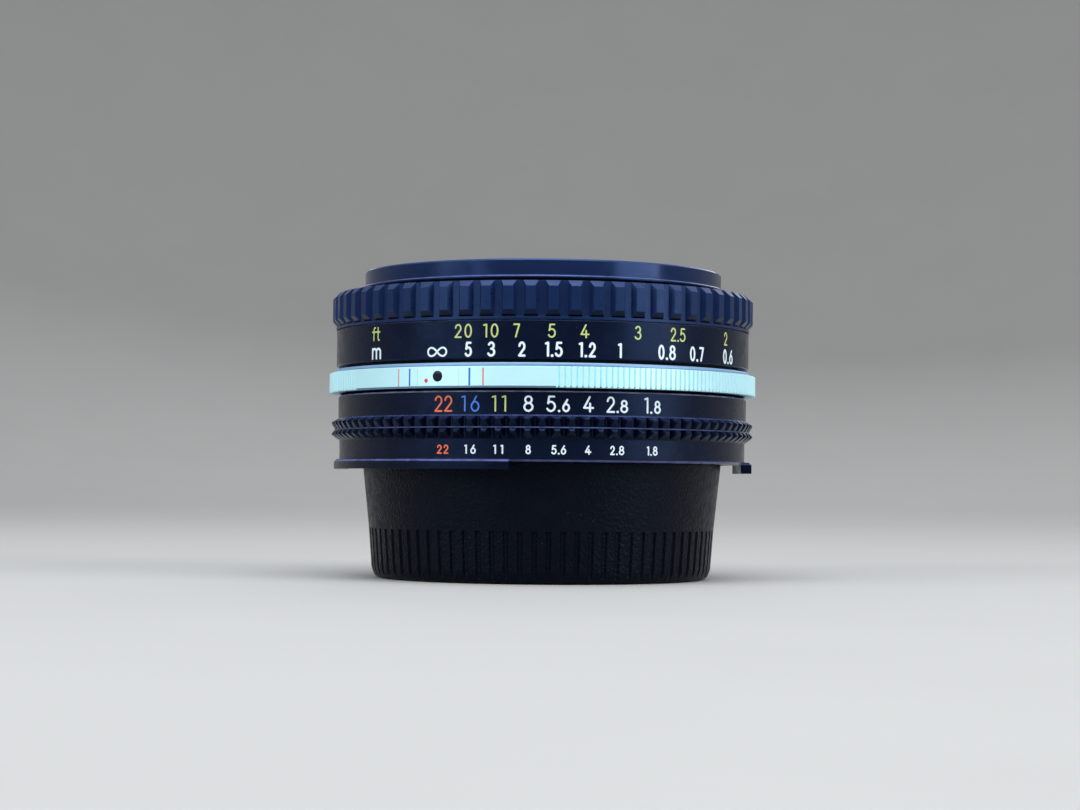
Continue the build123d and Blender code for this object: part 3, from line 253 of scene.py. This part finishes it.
scale_black = black_metal("scale_black", (0.002, 0.0036, 0.0125), 0.26, 0.27, NAVY)
# painted highlight along the top edge of the distance scale band
scale_black.lines([(36.42, 0.1)], (0.055, 0.075, 0.14))
scale_black.specks(1.5, 0.05, (0.1, 0.13, 0.2), 0.08)

gloss_black = black_metal("gloss_black", (0.006, 0.014, 0.05), 0.18, 0.44, NAVY, 0.002)
# painted reflection: a lighter band at the filter ring's front edge
gloss_black.lines([(45.2, 0.25)], (0.02, 0.045, 0.14), 0.8)
# painted highlight: a bright line at the filter ring's rear lip
gloss_black.lines([(42.9, 0.12)], (0.1, 0.13, 0.32))

inner_black = black_metal("matt_black", (0.005, 0.005, 0.0055), 0.6, 0.25, (1.0, 1.0, 1.0), 0.012)

name_black = black_metal("name_ring_black", (0.0045, 0.006, 0.011), 0.36, 0.35,
                         (0.6, 0.72, 1.0), 0.006)

silver = bright_metal("silver_anodised", (0.56, 0.92, 0.99), 0.36, 0.1, 0.0015, 0.04)
silver.bsdf.inputs["Metallic"].default_value = 0.2
# painted shade: the recessed lip of the silver ring, inside 31.3 mm, is darker and bluer
silver.mix_colour(silver.inside(31.3), (0.24, 0.4, 0.62))
chrome = bright_metal("mount_chrome", (0.7, 0.71, 0.72), 0.2, 0.12, 0.003)
steel = bright_metal("turned_steel", (0.5, 0.51, 0.53), 0.28)
dark_steel = bright_metal("black_steel", (0.05, 0.05, 0.056), 0.36)
brass = bright_metal("sleeve_brass", (0.62, 0.45, 0.2), 0.34, 0.18, 0.01)

rubber = Surface("grip_rubber", (0.0052, 0.0138, 0.054), 0.34, 0.0, 0.45, NAVY)
rubber.edges(0.1)
rubber.bump(rubber.noise(0.11, 3.0, 0.6), 0.012)
rubber.vary_roughness(rubber.noise(1.8, 3.0), 0.07)
rubber.mix_colour(rubber.ramp(rubber.noise(2.2, 4.0), 0.0, 0.5), (0.0075, 0.018, 0.07))
# painted shade: faces turned down the axis are darkened
rubber.mix_colour(rubber.facing(-0.15, -0.35), (0.0004, 0.0008, 0.003))
# painted light: faces turned up the axis are lighter
rubber.mix_colour(rubber.facing(0.15, 0.35), (0.015, 0.029, 0.095))
rubber.specks(0.8, 0.045, (0.22, 0.28, 0.4), 0.14)

cap = Surface("cap_plastic", (0.0016, 0.0022, 0.0054), 0.37, 0.0, 0.1, (0.5, 0.68, 1.0))
cap.edges(0.12)
leather = cap.node("ShaderNodeTexVoronoi", feature="SMOOTH_F1")
leather.inputs["Scale"].default_value = 1.0 / (0.42 * MM)
leather.inputs["Smoothness"].default_value = 0.6
cap.link(cap.where, leather.inputs["Vector"])
cap.bump(leather.outputs["Distance"], 0.08)
cap.bump(cap.noise(0.16, 3.0, 0.6), 0.045)
cap.vary_roughness(cap.noise(1.2, 4.0), 0.08)
cap.mix_colour(cap.ramp(cap.noise(3.5, 3.0), 0.0, 0.5), (0.003, 0.0036, 0.0066))
# dust specks, with painted glints that stand in for the grain's sparkle
cap.specks(0.9, 0.06, (0.09, 0.1, 0.13), 0.2)


def lens_glass(name, colour, film):
    """Clear glass under a thin coating, whose thickness is in nanometres."""
    surface = Surface(name, colour, 0.0, 0.0, 0.5)
    inputs = surface.bsdf.inputs
    inputs["Transmission Weight"].default_value = 1.0
    inputs["IOR"].default_value = 1.62
    inputs["Thin Film Thickness"].default_value = film
    inputs["Thin Film IOR"].default_value = 1.38
    surface.link(surface.ramp(surface.noise(6.0, 2.0), 0.0, 0.02), inputs["Roughness"])
    return surface


glass_front = lens_glass("coated_glass_violet", (0.97, 0.98, 1.0), 380.0)
glass_inner = lens_glass("coated_glass_amber", (1.0, 0.99, 0.96), 300.0)
glass_rear = lens_glass("coated_glass_green", (0.97, 1.0, 0.98), 460.0)


def paint(name, colour):
    surface = Surface(name, colour, 0.42, 0.0, 0.4)
    surface.bump(surface.noise(0.09, 2.0), 0.004)
    surface.mix_colour(surface.ramp(surface.noise(0.5, 3.0), 0.0, 0.3),
                       tuple(c * 0.88 for c in colour))
    return surface.material


paint_white = paint("paint_white", (0.76, 0.88, 0.96))
paint_green = paint("paint_yellow_green", (0.54, 0.63, 0.21))
paint_orange = paint("paint_orange", (0.9, 0.16, 0.05))
paint_blue = paint("paint_blue", (0.055, 0.21, 0.8))
paint_red = paint("paint_red", (0.72, 0.035, 0.07))
paint_line_red = paint("paint_line_red", (0.8, 0.14, 0.07))
paint_line_blue = paint("paint_line_blue", (0.012, 0.16, 0.6))
paint_line_green = paint("paint_line_green", (0.6, 0.78, 0.55))
index_black = Surface("index_enamel", (0.001, 0.005, 0.014), 0.18, 0.0, 0.2)
index_black.bump(index_black.noise(0.2, 2.0), 0.002)

FINISH = {
    "rear_cap": cap,
    "bayonet_mount": chrome, "mount_screws": steel,
    "rear_baffle": inner_black, "baffle_screws": dark_steel,
    "mount_barrel": inner_black, "guide_keys": steel, "key_screws": steel,
    "detent_ball": steel, "detent_spring": steel, "detent_screw": steel,
    "aperture_ring": ring_black, "grip_ring": silver,
    "stop_down_lever": dark_steel, "lever_spring": steel, "spring_post": steel,
    "front_barrel": inner_black, "helicoid_sleeve": brass,
    "focus_ring": scale_black, "focus_set_screws": steel, "rubber_grip": rubber,
    "filter_ring": gloss_black, "name_ring": name_black,
    "front_element": glass_front, "second_element": glass_inner, "third_element": glass_inner,
    "fourth_element": glass_inner, "fifth_element": glass_inner, "rear_element": glass_rear,
    "front_cell": inner_black, "front_retainer": inner_black, "second_retainer": inner_black,
    "front_spacer": inner_black, "iris_housing": inner_black, "housing_screws": dark_steel,
    "iris_drive_ring": dark_steel, "iris_clip": dark_steel,
    "rear_cell": inner_black, "rear_spacer": inner_black, "rear_retainer": inner_black,
}
for name, node in nodes.items():
    surface = dark_steel if name.startswith("iris_blade") else FINISH[name]
    for place in node.material_slots:
        place.material = surface.material


# ------------------------------------------------------------------ engraved strokes
def arc(cx, cy, rx, ry, start, end):
    """Points on an ellipse between two angles in degrees."""
    count = max(6, ceil(abs(end - start) / 12))
    steps = [radians(start + (end - start) * i / count) for i in range(count + 1)]
    return [(cx + rx * cos(a), cy + ry * sin(a)) for a in steps]


def twin_loops():
    """The infinity sign: one closed crossing line."""
    points = []
    for i in range(64):
        a = 2 * pi * i / 64
        wide = 1 + sin(a) ** 2
        points.append((0.5 + 0.5 * cos(a) / wide, 0.5 + 1.41 * sin(a) * cos(a) / wide))
    return points


# Each glyph: width over height, then its strokes as points in a unit box, and whether closed.
GLYPHS = {
    "0": (0.52, [(arc(0.5, 0.5, 0.5, 0.5, 0, 348), True)]),
    "1": (0.28, [([(0.0, 0.94), (1.0, 1.0)], False), ([(1.0, 1.0), (1.0, 0.0)], False)]),
    "2": (0.5, [(arc(0.5, 0.7, 0.47, 0.3, 172, -28) + [(0.0, 0.0)], False),
                ([(0.0, 0.0), (1.0, 0.0)], False)]),
    "3": (0.52, [(arc(0.46, 0.76, 0.44, 0.24, 158, -90), False),
                 (arc(0.44, 0.27, 0.56, 0.27, 86, -156), False)]),
    "4": (0.68, [([(0.62, 1.0), (0.0, 0.25)], False), ([(0.0, 0.25), (1.0, 0.25)], False),
                 ([(0.66, 0.55), (0.66, 0.0)], False)]),
    "5": (0.54, [([(0.9, 1.0), (0.2, 1.0)], False), ([(0.2, 1.0), (0.08, 0.53)], False),
                 (arc(0.44, 0.32, 0.56, 0.32, 134, -150), False)]),
    "6": (0.56, [([(0.7, 1.0), (0.07, 0.44)], False), (arc(0.5, 0.31, 0.5, 0.31, 0, 348), True)]),
    "7": (0.48, [([(0.0, 1.0), (1.0, 1.0)], False), ([(1.0, 1.0), (0.34, 0.0)], False)]),
    "8": (0.58, [(arc(0.5, 0.77, 0.4, 0.23, 0, 348), True),
                 (arc(0.5, 0.27, 0.5, 0.27, 0, 348), True)]),
    "f": (0.5, [(arc(0.72, 0.78, 0.3, 0.22, 60, 180) + [(0.42, 0.0)], False),
                ([(0.0, 0.66), (1.0, 0.66)], False)]),
    "t": (0.46, [([(0.45, 1.0)] + arc(0.75, 0.22, 0.3, 0.22, 180, 290), False),
                 ([(0.0, 0.66), (1.0, 0.66)], False)]),
    "m": (1.28, [([(0.0, 1.0), (0.0, 0.0)], False),
                 (arc(0.25, 0.68, 0.25, 0.32, 180, 0) + [(0.5, 0.0)], False),
                 (arc(0.75, 0.68, 0.25, 0.32, 180, 0) + [(1.0, 0.0)], False)]),
    "oo": (2.25, [(twin_loops(), True)]),
}


def ribbon(mesh, points, closed, width, place, top, round_ends=True):
    """Adds a thin closed solid along a flat line, which place(s, z, height) lays on a surface."""
    half = width / 2
    line = [Vector((x, y)) for x, y in points]
    count = len(line)
    left, right = [], []
    for i, point in enumerate(line):
        before = line[i - 1] if closed or i else point
        after = line[(i + 1) % count] if closed or i < count - 1 else point
        a, b = (point - before), (after - point)
        a = a.normalized() if a.length > 1e-9 else b.normalized()
        b = b.normalized() if b.length > 1e-9 else a
        along = (a + b).normalized()
        side = Vector((-along.y, along.x)) * half / max(0.6, along.dot(a))
        left.append(point + side)
        right.append(point - side)
    if round_ends and not closed:
        for end, sign in ((0, -1.0), (-1, 1.0)):
            middle = line[end]
            out = (line[end] - line[1 if end == 0 else -2]).normalized() * half
            side = Vector((-out.y, out.x)) * sign
            fan = []
            for k in range(1, 5):
                a = radians(90 * k / 5)
                tip = middle + out * sin(a)
                fan.append((tip + side * cos(a), tip - side * cos(a)))
            if end == 0:
                left = [p for p, q in reversed(fan)] + left
                right = [q for p, q in reversed(fan)] + right
            else:
                left += [p for p, q in fan]
                right += [q for p, q in fan]
    rows = []
    for p, q in zip(left, right):
        corners = ((p, top), (q, top), (q, -SUNK), (p, -SUNK))
        rows.append([mesh.verts.new(place(*corner, height)) for corner, height in corners])
    pairs = list(zip(rows, rows[1:] + (rows[:1] if closed else [])))
    for a, b in pairs[:len(rows) if closed else len(rows) - 1]:
        for k in range(4):
            n = (k + 1) % 4
            mesh.faces.new((a[k], a[n], b[n], b[k]))
    if not closed:
        mesh.faces.new(rows[0])
        mesh.faces.new(reversed(rows[-1]))


def on_cylinder(radius, angle, base):
    """Maps (s, z, height) in millimetres to a point on a cylinder about the axis, in metres."""
    def place(s, z, height):
        a = radians(angle) + s / radius
        r = radius + height
        return Vector((r * sin(a), -r * cos(a), base + z)) * MM
    return place


def write(mesh, text, radius, angle, base, height, stroke, small_decimals, stretch, spacing):
    """Writes a number centred at an angle on a cylinder; its foot stands at a height."""
    symbols = [text] if text in GLYPHS else list(text)
    cells, x, size, glyph_height = [], 0.0, 1.0, height
    for symbol in symbols:
        if symbol == ".":
            x -= spacing * 0.25
            cells.append((None, x, stroke * 1.25, height))
            x += stroke * 1.25 + spacing * 0.75
            size = small_decimals or 1.0
            continue
        glyph_height = height * size
        wide = max(GLYPHS[symbol][0] * glyph_height * stretch, stroke * 1.9)
        cells.append((symbol, x, wide, glyph_height))
        x += wide + spacing
    total = cells[-1][1] + cells[-1][2]
    place = on_cylinder(radius, angle, base)
    level = 0.0
    for symbol, left, wide, tall in cells:
        left -= total / 2
        if symbol is None:
            r = stroke * 0.62
            dot = [(left + r, r - 0.02), (left + r + 0.02, r - 0.02)]
            ribbon(mesh, dot, False, 2 * r, place, 0.02)
            continue
        for points, closed in GLYPHS[symbol][1]:
            level = level % 0.016 + 0.004
            moved = [(left + stroke / 2 + u * (wide - stroke), stroke / 2 + v * (tall - stroke))
                     for u, v in points]
            ribbon(mesh, moved, closed, stroke, place, 0.014 + level)


def finish_piece(name, mesh, material, body):
    """Turns a mesh into a piece that rides on a body, under a material slot of the part."""
    bmesh.ops.recalc_face_normals(mesh, faces=mesh.faces)
    data = bpy.data.meshes.new(name)
    mesh.to_mesh(data)
    mesh.free()
    piece = bpy.data.objects.new(name, data)
    scene.collection.objects.link(piece)
    data.materials.append(material)
    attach(piece, body)


def numerals(name, marks, radius, base, height, stroke, material, body, small_decimals=0.0):
    """Each mark has its text and plan angle, how far it is widened, and its digits' gap."""
    mesh = bmesh.new()
    for text, angle, stretch, spacing in marks:
        write(mesh, text, radius, angle, base, height, stroke, small_decimals, stretch, spacing)
    finish_piece(name, mesh, material, body)


METRES = [("5", -19.43, 0.92, 0.3), ("3", -13.24, 1.0, 0.3), ("2", -5.36, 0.98, 0.3),
          ("1.5", 2.78, 0.93, 0.28), ("1.2", 11.41, 0.97, 0.28), ("1", 20.13, 1.0, 0.3),
          ("0.8", 34.19, 0.97, 0.28), ("0.7", 44.83, 1.0, 0.3), ("0.6", 59.7, 1.0, 0.3)]
FEET = [("20", -20.92, 1.09, 0.42), ("10", -13.49, 1.09, 0.5), ("7", -6.75, 1.0, 0.3),
        ("5", 2.28, 1.0, 0.3), ("4", 10.76, 0.95, 0.3), ("3", 25.28, 1.0, 0.3),
        ("2.5", 37.84, 1.0, 0.3), ("2", 58.2, 1.0, 0.3)]
STOPS = [("22", -26.7, 1.12, 0.28), ("16", -19.0, 1.0, 0.76), ("11", -11.3, 1.0, 0.77),
         ("8", -3.6, 1.06, 0.3), ("5.6", 4.1, 1.04, 0.36), ("4", 12.0, 1.0, 0.3),
         ("2.8", 19.8, 1.1, 0.3), ("1.8", 30.1, 1.05, 0.4)]
SMALL_STOPS = [("22", -27.0, 1.2, 0.28), ("16", -19.1, 1.1, 0.5), ("11", -11.45, 1.1, 0.6),
               ("8", -3.6, 1.0, 0.2), ("5.6", 4.35, 1.03, 0.2), ("4", 12.05, 1.05, 0.2),
               ("2.8", 20.0, 1.08, 0.22), ("1.8", 30.3, 1.05, 0.22)]

for name, marks, foot, height, stroke, colour in (
        ("distance_metres", METRES, METRES_FOOT, 2.09, 0.31, paint_white),
        ("distance_infinity", [("oo", -28.4, 1.0, 0.3)], 31.4, 1.42, 0.26, paint_white),
        ("distance_feet", FEET, FEET_FOOT, 1.93, 0.22, paint_green),
        ("unit_metres", [("m", -49.88, 1.0, 0.3)], METRES_FOOT, 1.68, 0.32, paint_white),
        ("unit_feet", [("ft", -50.1, 1.0, 0.02)], FEET_FOOT, 2.0, 0.22, paint_green)):
    numerals(name, marks, FOCUS_R, foot, height, stroke, colour, "focus_ring")

for name, marks, stroke, colour, small_decimals in (
        ("aperture_22", STOPS[:1], 0.23, paint_orange, 0.0),
        ("aperture_16", STOPS[1:2], 0.21, paint_blue, 0.0),
        ("aperture_11", STOPS[2:3], 0.22, paint_green, 0.0),
        ("aperture_numerals", STOPS[3:], 0.27, paint_white, 0.81)):
    numerals(name, marks, APERTURE_R, STOPS_FOOT, 2.25, stroke, colour, "aperture_ring",
             small_decimals)

for name, marks, stroke, colour in (
        ("aperture_small_22", SMALL_STOPS[:1], 0.2, paint_orange),
        ("aperture_small_numerals", SMALL_STOPS[1:], 0.21, paint_white)):
    numerals(name, marks, REAR_R, SMALL_STOPS_FOOT, 1.29, stroke, colour, "aperture_ring")


# ------------------------------------------------------------------ marks on the silver ring
def depth_marks(name, marks, material):
    """Upright painted lines, each with a plan angle and a width."""
    mesh = bmesh.new()
    for angle, width in marks:
        place = on_cylinder(GRIP_R, angle, MARK_FOOT)
        ribbon(mesh, [(0.0, 0.0), (0.0, MARK_HEIGHT)], False, width, place, 0.008, False)
    finish_piece(name, mesh, material, "lens_body")


depth_marks("depth_marks_red", [(-39.1, 0.15), (-14.85, 0.19)], paint_line_red)
depth_marks("depth_marks_blue", [(-35.5, 0.25), (-18.4, 0.27)], paint_line_blue)
depth_marks("depth_marks_green", [(-33.0, 0.12), (-21.2, 0.1)], paint_line_green)


def dot(name, angle, height, radius, rise, material):
    """A round spot of enamel, slightly domed, set into the silver ring."""
    mesh = bmesh.new()
    place = on_cylinder(GRIP_R, angle, height)
    sides = 40

    def circle(r, h):
        turns = [2 * pi * i / sides for i in range(sides)]
        return [mesh.verts.new(place(r * cos(a), r * sin(a), h)) for a in turns]

    rings = [circle(radius, -SUNK)]
    rings += [circle(radius * cos(radians(15 * k)), rise * sin(radians(15 * k))) for k in range(6)]
    mesh.faces.new(rings[0])
    for a, b in zip(rings, rings[1:]):
        for i in range(sides):
            n = (i + 1) % sides
            mesh.faces.new((a[i], a[n], b[n], b[i]))
    top = mesh.verts.new(place(0, 0, rise))
    for i in range(sides):
        mesh.faces.new((rings[-1][i], rings[-1][(i + 1) % sides], top))
    for face in mesh.faces:
        face.smooth = len(face.verts) < 5
    finish_piece(name, mesh, material, "lens_body")


dot("infrared_dot", -30.4, 28.1, 0.29, 0.01, paint_red)
dot("index_dot", -27.1, 28.7, 0.76, 0.05, index_black.material)


# ------------------------------------------------------------------ filter thread
def thread():
    """A helical ridge inside the filter ring, fading out at both ends."""
    mesh = bmesh.new()
    per_turn = 120
    total = int((THREAD_TO - THREAD_FROM - THREAD_PITCH) / THREAD_PITCH * per_turn)
    shape = [(0.0, 0.0), (0.30, 0.92), (0.42, 1.0), (0.58, 1.0), (0.70, 0.92), (1.0, 0.0)]
    rows = []
    for i in range(total + 1):
        a = 2 * pi * i / per_turn
        fade = min(1.0, i / 12, (total - i) / 12)
        base = THREAD_FROM + THREAD_PITCH * i / per_turn
        row = []
        for t, depth in shape:
            r = THREAD_MAJOR + 0.03 - (THREAD_MAJOR - THREAD_MINOR + 0.03) * depth * fade
            z = base + THREAD_PITCH * (0.5 + (t - 0.5) * 0.98)
            row.append(mesh.verts.new(Vector((r * sin(a), -r * cos(a), z)) * MM))
        rows.append(row)
    for p, q in zip(rows, rows[1:]):
        for k in range(len(shape)):
            n = (k + 1) % len(shape)
            face = mesh.faces.new((p[k], p[n], q[n], q[k]))
            face.smooth = k < len(shape) - 1
    mesh.faces.new(rows[0])
    mesh.faces.new(reversed(rows[-1]))
    finish_piece("filter_thread", mesh, gloss_black.material, "front_assembly")


thread()

# ------------------------------------------------------------------ floor, light and camera
# The ground lights the part less than it shows: it is paler where it is seen or reflected.
ground = Surface("pale_ground", (0.3, 0.295, 0.285), 0.9, 0.0, 0.1)
path = ground.node("ShaderNodeLightPath")
straight = ground.node("ShaderNodeMath", operation="MAXIMUM")
ground.link(path.outputs["Is Camera Ray"], straight.inputs[0])
ground.link(path.outputs["Is Glossy Ray"], straight.inputs[1])
seen = ground.node("ShaderNodeMath", operation="MAXIMUM")
ground.link(straight.outputs[0], seen.inputs[0])
ground.link(path.outputs["Is Transmission Ray"], seen.inputs[1])
ground.mix_colour(seen.outputs[0], (0.45, 0.441, 0.428))
ground.mix_colour(ground.ramp(ground.noise(40.0, 3.0), 0.0, 0.15), (0.4, 0.39, 0.38))


def sweep():
    """A round pale floor that curves up into a wall all round."""
    mesh = bmesh.new()
    bend = 0.7
    turns = [radians(a) for a in range(5, 91, 5)]
    profile = [(0.0, 0.0), (0.2, 0.0), (0.6, 0.0)]
    profile += [(bend + bend * sin(a), bend - bend * cos(a)) for a in turns]
    profile.append((2 * bend, 1.3))
    count = 96
    rings = [[mesh.verts.new((0.0, 0.0, 0.0))]]
    for r, z in profile[1:]:
        rings.append([mesh.verts.new((r * cos(2 * pi * i / count), r * sin(2 * pi * i / count), z))
                      for i in range(count)])
    for i in range(count):
        mesh.faces.new((rings[0][0], rings[1][i], rings[1][(i + 1) % count]))
    for a, b in zip(rings[1:], rings[2:]):
        for i in range(count):
            n = (i + 1) % count
            mesh.faces.new((a[i], b[i], b[n], a[n]))
    for face in mesh.faces:
        face.smooth = True
    data = bpy.data.meshes.new("studio_sweep")
    mesh.to_mesh(data)
    mesh.free()
    floor = bpy.data.objects.new("studio_sweep", data)
    scene.collection.objects.link(floor)
    data.materials.append(ground.material)


sweep()

world = bpy.data.worlds.new("studio")
scene.world = world
world.use_nodes = True
sky = world.node_tree.nodes["Background"].inputs
sky["Color"].default_value = (0.93, 0.96, 1.0, 1.0)
sky["Strength"].default_value = 0.5


LAMP_TARGET = Vector((0.0, 0.0, 0.025))


def lamp(name, place, size, power, colour):
    """A rectangular lamp, in metres and watts, that faces the part."""
    light = bpy.data.lights.new(name, "AREA")
    light.shape = "RECTANGLE"
    light.size, light.size_y = size
    light.energy = power
    light.color = colour
    holder = bpy.data.objects.new(name, light)
    scene.collection.objects.link(holder)
    holder.location = place
    aim = LAMP_TARGET - Vector(place)
    holder.rotation_euler = aim.to_track_quat("-Z", "Y").to_euler()


lamp("overhead", (0.0, -0.14, 0.75), (0.6, 0.45), 3.6, (0.86, 0.93, 1.0))
lamp("front", (0.03, -0.5, 0.62), (0.8, 0.16), 2.4, (0.9, 0.95, 1.0))
lamp("key", (-0.72, -0.54, 0.4), (0.6, 0.5), 4.6, (0.95, 0.975, 1.0))
lamp("fill", (0.85, -0.45, 0.4), (0.6, 0.6), 6.2, (0.97, 0.985, 1.0))
lamp("back", (0.1, 0.8, 0.5), (0.8, 0.5), 2.0, (0.93, 0.96, 1.0))

# The photo's pinhole camera: 343 mm from the axis, tilted up by 2 degrees and rolled by 0.5.
PHOTO_WIDTH, FOCAL_LENGTH = 1080.0, 2291.0      # in the photo's pixels
camera = bpy.data.objects.new("camera", bpy.data.cameras.new("camera"))
scene.collection.objects.link(camera)
camera.data.sensor_width = 36.0
camera.data.lens = FOCAL_LENGTH / PHOTO_WIDTH * camera.data.sensor_width
camera.data.clip_start = 0.01
camera.matrix_world = (Matrix.Translation(Vector((-0.33, -343.0, 14.05)) * MM)
                       @ Matrix.Rotation(radians(91.965), 4, "X")
                       @ Matrix.Rotation(radians(0.5), 4, "Z"))
scene.camera = camera
scene.view_settings.view_transform = "Standard"
